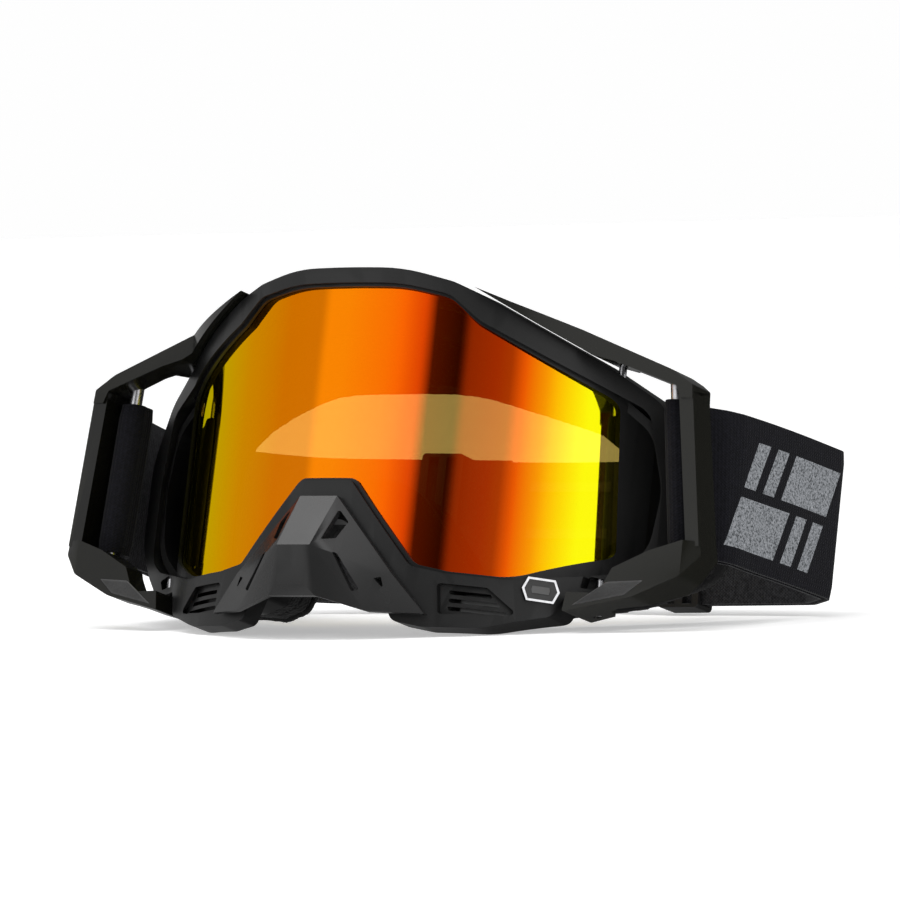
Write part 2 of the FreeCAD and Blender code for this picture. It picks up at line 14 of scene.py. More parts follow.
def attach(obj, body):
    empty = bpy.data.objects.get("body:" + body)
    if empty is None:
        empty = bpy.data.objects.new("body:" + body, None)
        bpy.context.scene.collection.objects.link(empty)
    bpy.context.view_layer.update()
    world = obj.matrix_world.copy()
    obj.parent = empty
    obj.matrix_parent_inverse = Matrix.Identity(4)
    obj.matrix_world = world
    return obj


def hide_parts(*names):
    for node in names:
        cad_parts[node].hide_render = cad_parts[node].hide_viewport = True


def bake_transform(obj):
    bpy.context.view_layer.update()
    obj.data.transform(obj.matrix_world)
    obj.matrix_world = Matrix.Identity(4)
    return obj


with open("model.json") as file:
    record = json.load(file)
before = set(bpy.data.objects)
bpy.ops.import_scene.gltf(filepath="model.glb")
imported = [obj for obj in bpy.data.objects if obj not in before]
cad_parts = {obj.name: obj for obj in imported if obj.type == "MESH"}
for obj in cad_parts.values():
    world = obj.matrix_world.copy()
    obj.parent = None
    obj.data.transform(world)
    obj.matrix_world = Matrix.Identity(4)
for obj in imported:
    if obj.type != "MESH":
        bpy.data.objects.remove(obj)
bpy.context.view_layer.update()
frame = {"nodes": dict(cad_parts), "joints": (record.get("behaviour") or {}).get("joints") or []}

# ----------------------------------------------------------------- own frame
MM = 0.001
LEAN = Matrix.Rotation(math.radians(-15), 4, "X")
RIGHT_PIVOT = Vector((74, -50.6, -20)) * MM
swing = next(j for j in frame["joints"] if j["name"] == "outrigger_right_swing")
REST = Matrix.Translation(Vector(swing["pos_m"]) - LEAN @ RIGHT_PIVOT) @ LEAN
UNREST = REST.inverted()
TURN = REST.to_3x3()


def at(x, y, z):
    """Row-frame point, in metres, of a point in the goggles' own frame, in millimetres."""
    return REST @ (Vector((x, y, z)) * MM)


# ------------------------------------------------------------- node helpers
class Tree:
    """Short hand for building a node tree."""

    def __init__(self, tree):
        self.tree = tree

    def add(self, kind, **settings):
        node = self.tree.nodes.new("ShaderNode" + kind)
        for key, value in settings.items():
            setattr(node, key, value)
        return node

    def link(self, source, target):
        self.tree.links.new(source, target)

    def split(self, vector):
        node = self.add("SeparateXYZ")
        self.link(vector, node.inputs[0])
        return node.outputs

    def calc(self, operation, a, b=None):
        """Math node; a and b are sockets or numbers."""
        node = self.add("Math", operation=operation)
        for slot, item in enumerate((a, b)):
            if item is None:
                continue
            if isinstance(item, (int, float)):
                node.inputs[slot].default_value = item
            else:
                self.link(item, node.inputs[slot])
        return node.outputs[0]

    def mix(self, share, first, second):
        """Colour mix; first and second are sockets or colours."""
        node = self.add("MixRGB")
        self.link(share, node.inputs["Fac"])
        for socket, item in (("Color1", first), ("Color2", second)):
            if isinstance(item, tuple):
                node.inputs[socket].default_value = (*item, 1)
            else:
                self.link(item, node.inputs[socket])
        return node.outputs["Color"]

    def ramp(self, source, stops):
        node = self.add("ValToRGB")
        elements = node.color_ramp.elements
        while len(elements) < len(stops):
            elements.new(0.5)
        for element, (place, colour) in zip(elements, stops):
            element.position = place
            element.color = (*colour, 1)
        self.link(source, node.inputs[0])
        return node.outputs[0]


class Nodes(Tree):
    """One material's node tree, round its main shader."""

    def __init__(self, name):
        self.material = bpy.data.materials.new(name)
        self.material.use_nodes = True
        super().__init__(self.material.node_tree)
        self.shader = self.tree.nodes["Principled BSDF"]
        self.output = self.tree.nodes["Material Output"]

    def value(self, socket, number):
        self.shader.inputs[socket].default_value = number

    def drive(self, socket, source):
        self.link(source, self.shader.inputs[socket])

    def object_noise(self, scale, detail):
        where = self.add("TexCoord")
        grain = self.add("TexNoise")
        grain.inputs["Scale"].default_value = scale
        grain.inputs["Detail"].default_value = detail
        self.link(where.outputs["Object"], grain.inputs["Vector"])
        return grain.outputs["Fac"]

    def bump(self, height, depth, strength):
        """Relief on the shader, with the depth in millimetres."""
        node = self.add("Bump")
        node.inputs["Distance"].default_value = depth * MM
        node.inputs["Strength"].default_value = strength
        self.link(height, node.inputs["Height"])
        self.drive("Normal", node.outputs["Normal"])

    def see_through(self, share, tint):
        """Lets a share of the light straight through, tinted on its way."""
        clear = self.add("BsdfTransparent")
        clear.inputs["Color"].default_value = (*tint, 1)
        mix = self.add("MixShader")
        mix.inputs["Fac"].default_value = share
        self.link(self.shader.outputs[0], mix.inputs[1])
        self.link(clear.outputs[0], mix.inputs[2])
        self.link(mix.outputs[0], self.output.inputs["Surface"])


def grey(level):
    """Grey with a trace of blue."""
    return (level, level, level * 1.02)


# ----------------------------------------------------------------- materials
MOTTLE_SCALE = 60
# Gain of the painted highlight on sharp edges, over the light level.
EDGE_HIGHLIGHT_GAIN = 1.9


def plastic(name, dark, light, rough_low, rough_high, grain_scale, grain_depth, tint=(1, 1, 1)):
    """Moulded plastic: fine cast grain, slow mottling of colour and gloss, and a painted highlight on
    the sharp edges.
    """
    n = Nodes(name)
    slow = n.object_noise(MOTTLE_SCALE, 4)
    fine = n.object_noise(grain_scale, 2)
    dull, bright = (tuple(level * t for t in tint) for level in (dark, light))
    # Painted highlight: sharp edges (high pointiness) get a lighter base colour.
    edge = n.add("NewGeometry").outputs["Pointiness"]
    edge_highlight = n.ramp(edge, [(0.5, grey(0)), (0.58, grey(1))])
    base = n.ramp(slow, [(0.3, dull), (0.7, bright)])
    n.drive("Base Color", n.mix(edge_highlight, base, tuple(c * EDGE_HIGHLIGHT_GAIN for c in bright)))
    n.drive("Roughness", n.ramp(slow, [(0.25, grey(rough_low)), (0.75, grey(rough_high))]))
    n.bump(fine, grain_depth, 0.5)
    grazing = n.add("LayerWeight")
    grazing.inputs["Blend"].default_value = 0.5
    n.drive("Specular IOR Level",
            n.ramp(grazing.outputs["Facing"], [(0.3, grey(0.26)), (0.95, grey(0.05))]))
    return n.material


def foam_material(name, base, cell_scale, depth):
    """Open-cell foam: pits between lighter cell walls, darkened with painted shade."""
    n = Nodes(name)
    where = n.add("TexCoord")
    cells = n.add("TexVoronoi")
    cells.inputs["Scale"].default_value = cell_scale
    n.link(where.outputs["Object"], cells.inputs["Vector"])
    pits = cells.outputs["Distance"]
    # Painted shade: the base colour darkens towards the bottoms of the pits.
    n.drive("Base Color", n.ramp(pits, [(0.1, grey(base * 0.3)), (0.7, grey(base))]))
    n.bump(pits, depth, 0.8)
    n.value("Roughness", 0.95)
    n.value("Specular IOR Level", 0.2)
    n.value("Sheen Weight", 0.04)
    return n.material


def metal(name, colour, roughness, streaks):
    """Bright metal with slightly uneven colour and polish."""
    n = Nodes(name)
    dull = tuple(c * 0.8 for c in colour)
    n.drive("Base Color", n.ramp(n.object_noise(streaks, 5), [(0.3, colour), (0.7, dull)]))
    n.drive("Roughness", n.ramp(n.object_noise(streaks * 2, 2),
                                [(0.2, grey(roughness * 0.7)), (0.8, grey(roughness * 1.3))]))
    n.value("Metallic", 1.0)
    return n.material


LENS_RADIUS = 87
LENS_GRAIN = 220
# Mirror colour across the lens, from the left edge to the right one.
LENS_TINT = (
    (0.11, (0.82, 0.80, 0.06)), (0.19, (0.94, 0.74, 0.02)), (0.29, (1.0, 0.42, 0.003)),
    (0.38, (1.0, 0.26, 0.001)), (0.50, (1.0, 0.24, 0.001)), (0.58, (1.0, 0.17, 0.001)),
    (0.64, (1.0, 0.08, 0.001)), (0.76, (1.0, 0.07, 0.001)), (0.80, (1.0, 0.12, 0.001)),
    (0.83, (1.0, 0.33, 0.001)), (0.86, (1.0, 0.68, 0.002)), (0.885, (1.0, 0.96, 0.004)))
MIRROR_SEE_THROUGH = 0.28
MIRROR_FILTER = (0.95, 0.7, 0.17)
INSIDE_SEE_THROUGH = 0.92
CLEAR = (1, 1, 1)


def lens_material():
    """Mirror coating that runs from gold at the sides to red-orange ahead, part see-through."""
    n = Nodes("mirror_coating")
    x = n.split(n.add("TexCoord").outputs["Object"])["X"]
    off_axis = n.calc("SUBTRACT", x, at(0, 0, 0).x)
    across = n.calc("MULTIPLY", off_axis, 1 / (2 * LENS_RADIUS * MM))
    tint = n.ramp(n.calc("ADD", across, 0.5), LENS_TINT)
    n.drive("Base Color", tint)
    n.drive("Specular Tint", tint)
    n.drive("Roughness", n.ramp(n.object_noise(LENS_GRAIN, 2), [(0.3, grey(0.03)), (0.8, grey(0.05))]))
    n.value("Metallic", 1.0)
    n.see_through(MIRROR_SEE_THROUGH, MIRROR_FILTER)
    return n.material


def lens_inside_material():
    """Inner face of the lens: clear, with a faint smoky gloss."""
    n = Nodes("lens_inside")
    smoke = [(0.3, (0.01, 0.008, 0.006)), (0.8, (0.02, 0.015, 0.01))]
    n.drive("Base Color", n.ramp(n.object_noise(LENS_GRAIN, 2), smoke))
    n.value("Roughness", 0.08)
    n.see_through(INSIDE_SEE_THROUGH, CLEAR)
    return n.material


RIB_PITCH = 1.1
CORD_PITCH = 0.9
INK_HEIGHT = 1.2
INK = [(0.36, (0.06, 0.065, 0.07)), (0.5, (0.2, 0.21, 0.225)), (0.7, (0.3, 0.31, 0.33))]
# Leaning bars of the print: along from, along to, bottom, top (mm).
PRINT_BLOCKS = (
    (9, 33, 5, 20.5), (36.5, 42, 5, 20.5), (45.5, 51, 5, 20.5),
    (9, 14.5, 23.5, 38), (18, 23.5, 23.5, 38), (27, 51, 23.5, 38))
PRINT_LEAN = -0.38


def print_mask(n, along, across):
    """1 inside the printed bars and 0 outside them."""
    def between(socket, low, high):
        return n.calc("MULTIPLY", n.calc("GREATER_THAN", socket, low), n.calc("LESS_THAN", socket, high))

    slanted = n.calc("ADD", along, n.calc("MULTIPLY", across, PRINT_LEAN))
    ink = None
    for start, end, bottom, top in PRINT_BLOCKS:
        block = n.calc("MULTIPLY", between(slanted, start, end), between(across, bottom, top))
        ink = block if ink is None else n.calc("MAXIMUM", ink, block)
    return ink


def webbing_material(name, dark, light, printed=False):
    """Woven elastic. UVs are millimetres along and across, so the weave keeps its size."""
    n = Nodes(name)
    uv = n.split(n.add("UVMap", uv_map="weave").outputs["UV"])
    along, across = uv["X"], uv["Y"]
    ribs = n.calc("SINE", n.calc("MULTIPLY", along, 2 * math.pi / RIB_PITCH))
    cords = n.calc("SINE", n.calc("MULTIPLY", across, 2 * math.pi / CORD_PITCH))
    weave = n.calc("MULTIPLY", ribs, cords)
    fuzz = n.object_noise(900, 4)
    height = n.calc("ADD", n.calc("MULTIPLY", weave, 0.5), n.calc("MULTIPLY", ribs, 0.35))
    height = n.calc("ADD", height, n.calc("MULTIPLY", fuzz, 0.9))
    # Colour: the weave's hollows are darkened as painted shade, and the fuzz adds random tone.
    shade = n.calc("ADD", n.calc("MULTIPLY", weave, 0.18), fuzz)
    colour = n.ramp(shade, [(0.3, dark), (0.8, light)])
    if printed:
        ink = print_mask(n, along, across)
        colour = n.mix(ink, colour, n.ramp(n.object_noise(1500, 5), INK))
        height = n.calc("ADD", height, n.calc("MULTIPLY", ink, INK_HEIGHT))
    n.drive("Base Color", colour)
    n.bump(height, 0.12, 0.9)
    n.value("Roughness", 0.9)
    n.value("Specular IOR Level", 0.2)
    n.value("Sheen Weight", 0.04)
    n.value("Sheen Roughness", 0.5)
    return n.material


# Plastics: dark and light level, low and high roughness, grain scale, grain depth (mm).
FRAME_PLASTIC = plastic("frame_satin", 0.003, 0.006, 0.32, 0.42, 1500, 0.03)
GUARD_PLASTIC = plastic("guard_satin", 0.003, 0.007, 0.2, 0.3, 1800, 0.02)
# The outrigger plastic's yellow tint is a painted olive reflection in its base colour.
ARM_PLASTIC = plastic("outrigger_gloss", 0.002, 0.004, 0.12, 0.2, 700, 0.01, tint=(1.0, 1.0, 0.75))
PATCH_PLASTIC = plastic("pebbled_patch", 0.01, 0.04, 0.4, 0.6, 1300, 0.4)
SLIDER_PLASTIC = plastic("slider_satin", 0.006, 0.010, 0.35, 0.5, 1500, 0.02)
FOAM = foam_material("black_foam", 0.012, 900, 0.5)
VENT_FOAM = foam_material("vent_filter_foam", 0.04, 600, 0.7)
FLEECE = foam_material("brushed_fleece", 0.02, 2400, 0.25)
STEEL = metal("turned_steel", (0.55, 0.55, 0.57), 0.28, 900)
BADGE_METAL = metal("badge_metal", (0.75, 0.75, 0.77), 0.2, 600)
BADGE_ENAMEL = plastic("badge_enamel", 0.03, 0.05, 0.2, 0.3, 900, 0.01)
GRIP = plastic("grip_silicone", 0.02, 0.03, 0.5, 0.6, 1200, 0.02)
LENS = lens_material()
LENS_INSIDE = lens_inside_material()
NAVY = ((0.0008, 0.0008, 0.0022), (0.004, 0.004, 0.0075))
WEBBING = webbing_material("webbing_plain", *NAVY)
WEBBING_PRINTED = webbing_material("webbing_printed", *NAVY, printed=True)
WEBBING_INSIDE = webbing_material("webbing_inside", (0.006, 0.006, 0.007), (0.035, 0.035, 0.038))


# ------------------------------------------------------------- mesh helpers
WELD_DISTANCE = 2e-6
BEVEL_SEGMENTS = 2
SOFT_INSET = 0.05
SOFT_RIPPLE_SCALE = 220


def new_piece(name, bm, *materials):
    mesh = bpy.data.meshes.new(name)
    bm.to_mesh(mesh)
    bm.free()
    if "custom_normal" in mesh.attributes:
        mesh.attributes.remove(mesh.attributes["custom_normal"])
    piece = bpy.data.objects.new(name, mesh)
    bpy.context.scene.collection.objects.link(piece)
    for material in materials:
        mesh.materials.append(material)
    return piece


def node_bmesh(node):
    bm = bmesh.new()
    bm.from_mesh(frame["nodes"][node].data)
    bmesh.ops.remove_doubles(bm, verts=bm.verts, dist=WELD_DISTANCE)
    return bm


def merge_flat(bm, degrees):
    """Joins faces that meet at less than the given angle."""
    bmesh.ops.dissolve_limit(bm, angle_limit=math.radians(degrees), verts=bm.verts, edges=bm.edges)


def apply_modifiers(piece):
    """Bakes a piece's modifiers into its mesh."""
    bpy.context.view_layer.update()
    graph = bpy.context.evaluated_depsgraph_get()
    baked = bpy.data.meshes.new_from_object(piece.evaluated_get(graph))
    old = piece.data
    piece.modifiers.clear()
    piece.data = baked
    bpy.data.meshes.remove(old)


def moulded(node, material, width, body):
    """The node's shape with its sharp edges rounded, as a mould leaves them."""
    bm = node_bmesh(node)
    merge_flat(bm, 1.5)
    piece = new_piece(node + "_moulded", bm, material)
    bevel = piece.modifiers.new("rounded_edges", "BEVEL")
    bevel.width = width * MM
    bevel.segments = BEVEL_SEGMENTS
    bevel.limit_method = "ANGLE"
    bevel.angle_limit = math.radians(24)
    bevel.use_clamp_overlap = True
    bevel.miter_outer = "MITER_ARC"
    bevel.harden_normals = True
    piece.data.shade_smooth()
    apply_modifiers(piece)
    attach(piece, body)
    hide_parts(node)


def soft_block(node, material, voxel, ripple):
    """Foam layer: the node's shape remeshed, its edges eased and its faces gently uneven."""
    piece = new_piece(node + "_soft", node_bmesh(node), material)
    remesh = piece.modifiers.new("remesh", "REMESH")
    remesh.mode = "VOXEL"
    remesh.voxel_size = voxel * MM
    smooth = piece.modifiers.new("eased", "SMOOTH")
    smooth.factor = 0.5
    smooth.iterations = 4
    apply_modifiers(piece)
    normals = [vertex.normal.copy() for vertex in piece.data.vertices]
    for vertex, normal in zip(piece.data.vertices, normals):
        push = noise.noise(vertex.co * SOFT_RIPPLE_SCALE) * ripple * MM
        vertex.co -= normal * (abs(push) + SOFT_INSET * MM)
    piece.data.shade_smooth()
    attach(piece, "root")
    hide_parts(node)


# --------------------------------------------------------------------- lens
SHEET_FACING = 0.9


def from_axis(point):
    """Direction straight away from the lens axis at a point of the row frame."""
    local = UNREST @ point
    return (TURN @ Vector((local.x, local.y, 0)).normalized()).normalized()


def make_lens():
    """The lens sheet with true cylinder normals, so that it mirrors without facets."""
    piece = new_piece("mirror_lens", node_bmesh("lens"), LENS, LENS_INSIDE)
    mesh = piece.data
    mesh.shade_smooth()
    normals = []
    for polygon in mesh.polygons:
        inner = polygon.normal.dot(from_axis(polygon.center)) < -SHEET_FACING
        polygon.material_index = 1 if inner else 0
        for index in polygon.vertices:
            outward = from_axis(mesh.vertices[index].co)
            facing = polygon.normal.dot(outward)
            if abs(facing) > SHEET_FACING:
                normals.append(outward * math.copysign(1, facing))
            else:
                normals.append(polygon.normal.copy())
    mesh.normals_split_custom_set(normals)
    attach(piece, "root")
    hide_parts("lens")


# ------------------------------------------------------------------- strap
STRAP_TOP = 2.4
STRAP_WIDTH = 45
STRAP_THICKNESS = 1.8
STRAP_BOTTOM = STRAP_TOP - STRAP_WIDTH
MIDDLE_Z = STRAP_TOP - STRAP_WIDTH / 2
TAIL_OFFSET = 2.4
ROD_TOP = Vector((93.1, -51.4, 8))
ROD_FOOT = Vector((98.8, -47.6, -45))
ROLL_RADIUS = 3.3
# Turn of the webbing round a rod: points, first angle and step in degrees.
ROLL_POINTS, ROLL_START, ROLL_STEP = 13, 62, 22
# Plan of the strap's centre line in millimetres, from behind the right bar,
# round the fold and across the back to the left bar: (x, y, bend radius).
STRAP_LINE = [(107, -33, 0), (111.4, -6, 220), (113.6, 17.6, 4.2), (104.4, 25.2, 4.2),
              (12, 31, 200), (-74, 25, 60), (-106, 4, 30), (-104.5, -33, 0)]
# Bends between that line and the turn round each rod, on the strap and on its tail.
RIGHT_LEAD = [(101.4, -41.4, 6), (105, -37.6, 6)]
RIGHT_INLET = [(92.8, -44.6, 3), (101, -36.8, 8)]
LEFT_LEAD = [(-103.6, -38, 5), (-101.4, -41.4, 5)]
LEFT_INLET = [(-100.6, -37, 8), (-92.8, -44.6, 3)]
# Where the back run changes from strap_right to strap_back, and where the tails end.
RIGHT_JOIN = 60
RIGHT_TAIL_END = 36
LEFT_TAIL_END = -6
BACK_RUN_Y = 15
BACK_WEAVE_START = 120
STEP = 1.5
# A bend may take this share of the straight run on either side of it.
BEND_SHARE = 0.48
# Ribbon section: points across each face, and how far an edge point draws in.
ROWS = 13
EDGE_EASE = 0.45
# The webbing leans with its rod and straightens over this distance.
FADE = 34
# Above this share of the lean, both faces show the outer material.
ON_ROD = 0.8


def smooth_line(points):
    """Points about every STEP mm along straight runs joined by each corner's bend."""
    corners = []
    for i, (x, y, radius) in enumerate(points):
        here = Vector((x, y))
        if i in (0, len(points) - 1) or radius == 0:
            corners.append([here])
            continue
        before = Vector(points[i - 1][:2]) - here
        after = Vector(points[i + 1][:2]) - here
        half = before.angle(after) / 2
        reach = min(radius / math.tan(half), BEND_SHARE * before.length, BEND_SHARE * after.length)
        start, end = here + before.normalized() * reach, here + after.normalized() * reach
        count = max(4, int(reach / STEP))
        bend = []
        for k in range(count + 1):
            t = k / count
            bend.append(start * (1 - t) ** 2 + here * 2 * t * (1 - t) + end * t * t)
        corners.append(bend)
    line = []
    for corner in corners:
        if line:
            run = corner[0] - line[-1]
            steps = max(1, int(run.length / STEP))
            line += [line[-1] + run * (k / steps) for k in range(1, steps)]
        line += corner
    return line


def shifted(line, offset):
    """A plan line moved sideways, towards the goggles where offset is positive."""
    moved = []
    for i, point in enumerate(line):
        run = (line[min(i + 1, len(line) - 1)] - line[max(i - 1, 0)]).normalized()
        moved.append(point + Vector((-run.y, run.x)) * offset)
    return moved


def rod_centre(z):
    """Plan point of the right strap rod's axis at a height."""
    share = (z - ROD_FOOT.z) / (ROD_TOP.z - ROD_FOOT.z)
    return ROD_FOOT.lerp(ROD_TOP, share).to_2d()


def wrap_points():
    """Turn of webbing round the right rod's front, listed from the outboard side in."""
    centre = rod_centre(MIDDLE_Z)
    turns = []
    for k in range(ROLL_POINTS):
        angle = math.radians(ROLL_START - k * ROLL_STEP)
        turns.append(Vector((centre.x + ROLL_RADIUS * math.cos(angle),
                             centre.y + ROLL_RADIUS * math.sin(angle))))
    return turns


def back_run_index(line, x):
    """Index of the last point on the back run that is still to the right of x."""
    return max(i for i, p in enumerate(line) if p.y > BACK_RUN_Y and p.x >= x)


def ribbon(name, line, materials, rod, side=1, weave_start=0.0):
    """Webbing along a plan line. Near its strap rod it leans with the rod.

    materials are the inner and the outer face's; weave_start is the first UV along.
    """
    bm = bmesh.new()
    uv_layer = bm.loops.layers.uv.new("weave")
    inner, outer = shifted(line, STRAP_THICKNESS / 2), shifted(line, -STRAP_THICKNESS / 2)
    middle = rod_centre(MIDDLE_Z)
    length = weave_start
    rings = []
    for i, point in enumerate(line):
        if i:
            length += (point - line[i - 1]).length
        lean = 1 - min((point - rod).length / FADE, 1)
        lean = lean * lean * (3 - 2 * lean)
        ring = []
        for plan_line, rows in ((outer, range(ROWS)), (inner, range(ROWS - 1, -1, -1))):
            for row in rows:
                z = STRAP_BOTTOM + (STRAP_TOP - STRAP_BOTTOM) * (row / (ROWS - 1))
                inset = EDGE_EASE if row in (0, ROWS - 1) else 0
                drift = rod_centre(z) - middle
                drift.x *= side
                here = plan_line[i].lerp(point, inset) + drift * lean
                ring.append((bm.verts.new(at(here.x, here.y, z)), length, z - STRAP_BOTTOM))
        rings.append((ring, lean > ON_ROD))

    def add_face(corners):
        face = bm.faces.new([corner[0] for corner in corners])
        for loop, (_, along, across) in zip(face.loops, corners):
            loop[uv_layer].uv = (along, across)
        return face

    count = len(rings[0][0])
    for (a, on_rod), (b, _) in zip(rings, rings[1:]):
        for k in range(count):
            face = add_face([a[k], b[k], b[(k + 1) % count], a[(k + 1) % count]])
            face.smooth = True
            face.material_index = 1 if on_rod or k < ROWS - 1 else 0
    add_face(rings[0][0])
    add_face(rings[-1][0])
    bmesh.ops.recalc_face_normals(bm, faces=bm.faces)
    piece = new_piece(name, bm, *materials)
    piece.data.set_sharp_from_angle(angle=math.radians(60))
    return piece


def make_right_strap():
    """From the join on the back run, round the fold and the rod, and back as the tail."""
    whole = smooth_line(STRAP_LINE)
    tail = shifted(whole, TAIL_OFFSET)
    roll = wrap_points()
    rod = rod_centre(MIDDLE_Z)
    lead = smooth_line([(*roll[0], 0), *RIGHT_LEAD, (*whole[0], 0)])
    inlet = smooth_line([(*roll[-1], 0), *RIGHT_INLET, (*tail[0], 0)])
    main = lead[:-1] + whole[:back_run_index(whole, RIGHT_JOIN) + 1]
    outer = ribbon("strap_right", main, (WEBBING_INSIDE, WEBBING_PRINTED), rod)
    doubled = roll + inlet[1:-1] + tail[:back_run_index(tail, RIGHT_TAIL_END) + 1]
    inner = ribbon("strap_right_tail", doubled, (WEBBING_INSIDE, WEBBING), rod)
    for piece in (outer, inner):
        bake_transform(piece)
    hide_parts("strap_tail_right", "strap_loop_right")


def make_left_strap():
    """Across the back from the join to the left rod, and back as the tail."""
    whole = smooth_line(STRAP_LINE)
    tail = shifted(whole, TAIL_OFFSET)
    roll = [Vector((-p.x, p.y)) for p in wrap_points()]
    right_rod = rod_centre(MIDDLE_Z)
    rod = Vector((-right_rod.x, right_rod.y))
    lead = smooth_line([(*whole[-1], 0), *LEFT_LEAD, (*roll[0], 0)])
    inlet = smooth_line([(*tail[-1], 0), *LEFT_INLET, (*roll[-1], 0)])
    main = whole[back_run_index(whole, RIGHT_JOIN):] + lead[1:]
    outer = ribbon("strap_back", main, (WEBBING_INSIDE, WEBBING), rod, side=-1,
                   weave_start=BACK_WEAVE_START)
    doubled = tail[back_run_index(tail, LEFT_TAIL_END):] + inlet[1:] + roll[::-1][1:]
    inner = ribbon("strap_left_tail", doubled, (WEBBING_INSIDE, WEBBING), rod, side=-1)
    for piece in (outer, inner):
        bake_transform(piece)
    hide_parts("strap_webbing")
    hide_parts("strap_tail_left", "strap_loop_left")


# --------------------------------------------------------- badge and patches
# Insets of the badge's front in millimetres (width, height): the polished rim and
# the step down inside it, then the dark face and the bar raised on it.
BADGE_RIM = ((0.75, 0), (0.12, -0.4))
BADGE_BAR = ((1.9, 0), (0.15, 0.2))


def make_badge():
    """Blank six-sided plate with a raised polished rim round a dark face."""
    bm = node_bmesh("hex_badge")
    merge_flat(bm, 1)
    bm.faces.ensure_lookup_table()
    outward = (TURN @ Vector((1, -1, 0))).normalized()
    front = max(bm.faces, key=lambda f: f.normal.dot(outward) * (len(f.verts) == 6))

    def inset(steps):
        for width, height in steps:
            bmesh.ops.inset_region(bm, faces=[front], thickness=width * MM, depth=height * MM)

    inset(BADGE_RIM)
    front.material_index = 1
    inset(BADGE_BAR)
    piece = new_piece("badge_plate", bm, BADGE_METAL, BADGE_ENAMEL)
    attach(piece, "root")
    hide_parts("hex_badge")


# Pebbled patch on the root of each lower arm: corners (x, z) on the arm's flat front,
# which passes through (PATCH_X, PATCH_Y) in plan and falls back by PATCH_SLOPE.
PATCH = ((71.8, -61.6), (88, -57.6), (93.5, -52.8), (82.6, -53.6))
PATCH_X, PATCH_Y, PATCH_SLOPE = 67.3, -65.0, 0.1853
PATCH_CELLS = (36, 14)
PATCH_LIFT = 0.22
PATCH_SUNK_EDGE = -0.1
PEBBLE_HEIGHT = 0.12
PEBBLE_SCALE = 1.9


def make_patch(side, sign):
    """Raised pebbled panel on the flat front of a lower arm."""
    bm = bmesh.new()
    across, up = PATCH_CELLS
    grid = []
    for i in range(across + 1):
        foot = Vector(PATCH[0]).lerp(Vector(PATCH[1]), i / across)
        head = Vector(PATCH[3]).lerp(Vector(PATCH[2]), i / across)
        column = []
        for k in range(up + 1):
            x, z = foot.lerp(head, k / up)
            pebble = PEBBLE_HEIGHT * abs(noise.noise(Vector((x, 0, z)) * PEBBLE_SCALE))
            on_edge = i in (0, across) or k in (0, up)
            lift = PATCH_SUNK_EDGE if on_edge else PATCH_LIFT + pebble
            y = PATCH_Y + (x - PATCH_X) * PATCH_SLOPE - lift
            column.append(bm.verts.new(at(sign * x, y, z)))
        grid.append(column)
    for a, b in zip(grid, grid[1:]):
        for k in range(up):
            face = bm.faces.new((a[k], b[k], b[k + 1], a[k + 1]))
            face.smooth = True
    if sign < 0:
        bmesh.ops.reverse_faces(bm, faces=bm.faces)
    bmesh.ops.holes_fill(bm, edges=[e for e in bm.edges if e.is_boundary])
    bmesh.ops.recalc_face_normals(bm, faces=bm.faces)
    piece = new_piece("pebbled_patch_" + side, bm, PATCH_PLASTIC)
    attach(piece, "outrigger_" + side)


# ------------------------------------------------------------ carried-over nodes
def recolour(node, material):
    """Gives a node that shows as it is its material."""
    materials = frame["nodes"][node].data.materials
    materials.clear()
    materials.append(material)


# -------------------------------------------------------------- light, camera
FLOOR_RADIUS = 12
FLOOR_GLOW = 0.42


def make_stage():
    """Wide pale floor; the pale surroundings carry on from its edge."""
    bm = bmesh.new()
    bmesh.ops.create_circle(bm, cap_ends=True, segments=64, radius=FLOOR_RADIUS)
    n = Nodes("pale_paper")
    n.drive("Base Color", n.ramp(n.object_noise(8, 2), [(0.3, (0.84,) * 3), (0.7, (0.87,) * 3)]))
    n.value("Roughness", 0.9)
    n.value("Emission Color", (1, 1, 1, 1))
    n.value("Emission Strength", FLOOR_GLOW)
    floor = new_piece("floor", bm, n.material)
    floor.visible_glossy = False


# Brightness of the surroundings by direction: degrees from straight ahead (-Y)
# towards +X, and level.
PANELS = ((-180, 0.03), (-150, 0.1), (-138, 0.42), (-90, 0.50), (-47, 0.55), (-43, 0.82),
          (-8, 0.82), (2, 0.62), (7, 0.06), (19, 0.02), (23, 0.22), (41, 0.33), (47, 0.72),
          (60, 0.85), (105, 0.85), (120, 0.2), (135, 0.04), (180, 0.03))
WORLD_STRENGTH = 1.6
# Level that the camera itself sees, which comes out as plain white.
BACKDROP = (0.62, 0.62, 0.62)


def make_world():
    """Soft studio surroundings: bright panels to the left and right, a dark gap between."""
    world = bpy.data.worlds.new("studio")
    bpy.context.scene.world = world
    world.use_nodes = True
    world.node_tree.nodes.clear()
    n = Tree(world.node_tree)
    way = n.split(n.add("TexCoord").outputs["Generated"])
    share = n.add("MapRange")
    share.inputs["From Min"].default_value = -math.pi
    share.inputs["From Max"].default_value = math.pi
    n.link(n.calc("ARCTAN2", way["X"], n.calc("MULTIPLY", way["Y"], -1)), share.inputs["Value"])
    stops = [((degrees + 180) / 360, (level,) * 3) for degrees, level in PANELS]
    seen_by_camera = n.add("LightPath").outputs["Is Camera Ray"]
    background = n.add("Background")
    background.inputs["Strength"].default_value = WORLD_STRENGTH
    n.link(n.mix(seen_by_camera, n.ramp(share.outputs[0], stops), BACKDROP),
           background.inputs["Color"])
    n.link(background.outputs[0], n.add("OutputWorld").inputs["Surface"])


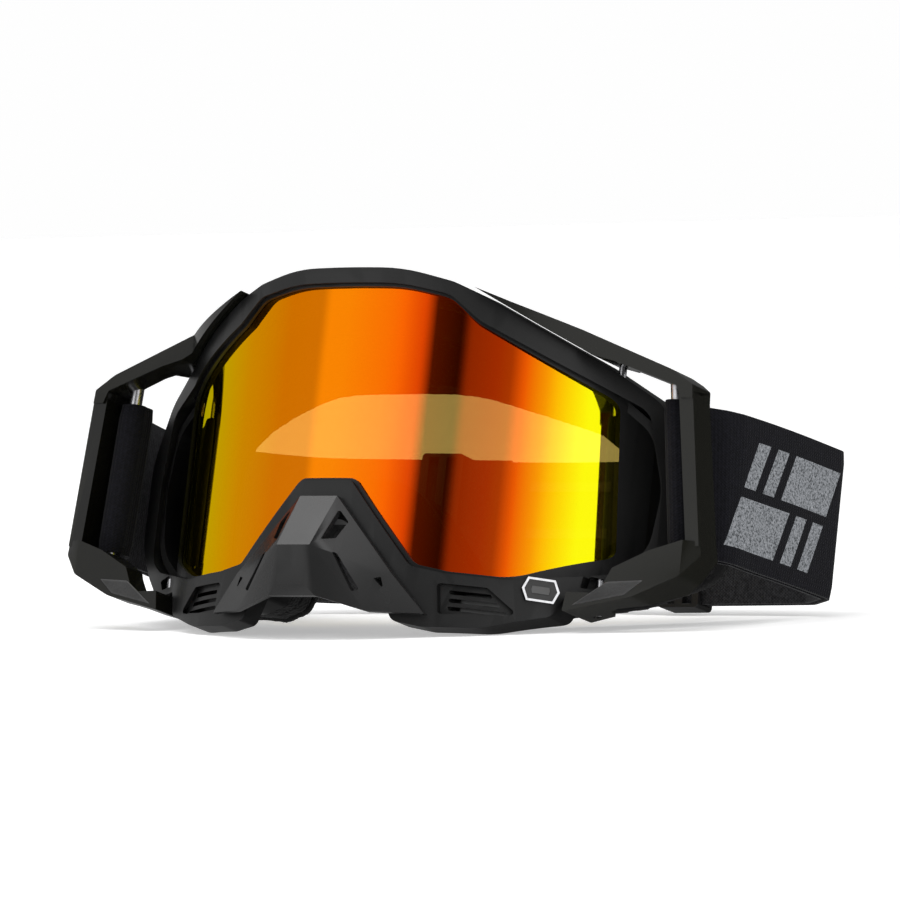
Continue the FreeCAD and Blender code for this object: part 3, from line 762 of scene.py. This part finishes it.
def area_light(name, location, target, width, height, power):
    data = bpy.data.lights.new(name, "AREA")
    data.shape = "RECTANGLE"
    data.size, data.size_y = width, height
    data.energy = power
    light = bpy.data.objects.new(name, data)
    light.location = location
    light.rotation_mode = "QUATERNION"
    light.rotation_quaternion = (Vector(target) - Vector(location)).to_track_quat("-Z", "Y")
    bpy.context.scene.collection.objects.link(light)


def make_lights():
    """Two softboxes over the goggles: place, size (m) and power (W)."""
    target = at(0, -50, -20)
    area_light("top_softbox", (0.1, -0.35, 1.15), target, 0.9, 0.7, 5)
    area_light("plate_softbox", (-0.62, 0.0, 1.05), target, 0.55, 0.55, 3.2)


CAMERA_AZIMUTH = 30.0
CAMERA_ELEVATION = 2.0
CAMERA_ROLL = -1.5
CAMERA_DISTANCE = 2.7
VIEW_WIDTH = 0.2727
SENSOR_WIDTH = 36
AIM_LEFT = 10.3


def make_camera():
    a, e = math.radians(CAMERA_AZIMUTH), math.radians(CAMERA_ELEVATION)
    back = Vector((math.sin(a) * math.cos(e), -math.cos(a) * math.cos(e), math.sin(e)))
    right = Vector((math.cos(a), math.sin(a), 0))
    centre = at(0, 0, 0) - right * AIM_LEFT * MM
    data = bpy.data.cameras.new("camera")
    data.sensor_width = SENSOR_WIDTH
    data.lens = SENSOR_WIDTH * CAMERA_DISTANCE / VIEW_WIDTH
    data.clip_start, data.clip_end = 0.05, 20
    camera = bpy.data.objects.new("camera", data)
    camera.location = centre + back * CAMERA_DISTANCE
    camera.rotation_mode = "QUATERNION"
    level = (-back).to_track_quat("-Z", "Y")
    roll = Matrix.Rotation(math.radians(CAMERA_ROLL), 4, "Z").to_quaternion()
    camera.rotation_quaternion = level @ roll
    bpy.context.scene.collection.objects.link(camera)
    bpy.context.scene.camera = camera


# ------------------------------------------------------------------- build
bpy.context.scene.view_settings.view_transform = "Standard"
make_camera()
make_stage()
make_world()
make_lights()
make_lens()
moulded("frame", FRAME_PLASTIC, 0.5, "root")
moulded("nose_guard", GUARD_PLASTIC, 0.35, "nose_guard")
for side, sign in (("right", 1), ("left", -1)):
    make_patch(side, sign)
    moulded("outrigger_" + side, ARM_PLASTIC, 0.6, "outrigger_" + side)
    moulded("strap_slider_" + side, SLIDER_PLASTIC, 0.35, "slider_" + side)
    for node in ("strap_rod_", "pivot_pin_upper_", "pivot_pin_lower_"):
        recolour(node + side, STEEL)
soft_block("face_foam_base", FOAM, 1.0, 0.25)
soft_block("face_foam_middle", FOAM, 1.0, 0.3)
soft_block("face_fleece", FLEECE, 0.7, 0.2)
for node in ("vent_foam_top", "vent_foam_lower_right", "vent_foam_lower_left"):
    soft_block(node, VENT_FOAM, 0.6, 0.1)
make_right_strap()
make_left_strap()
make_badge()
recolour("strap_grip_strips", GRIP)
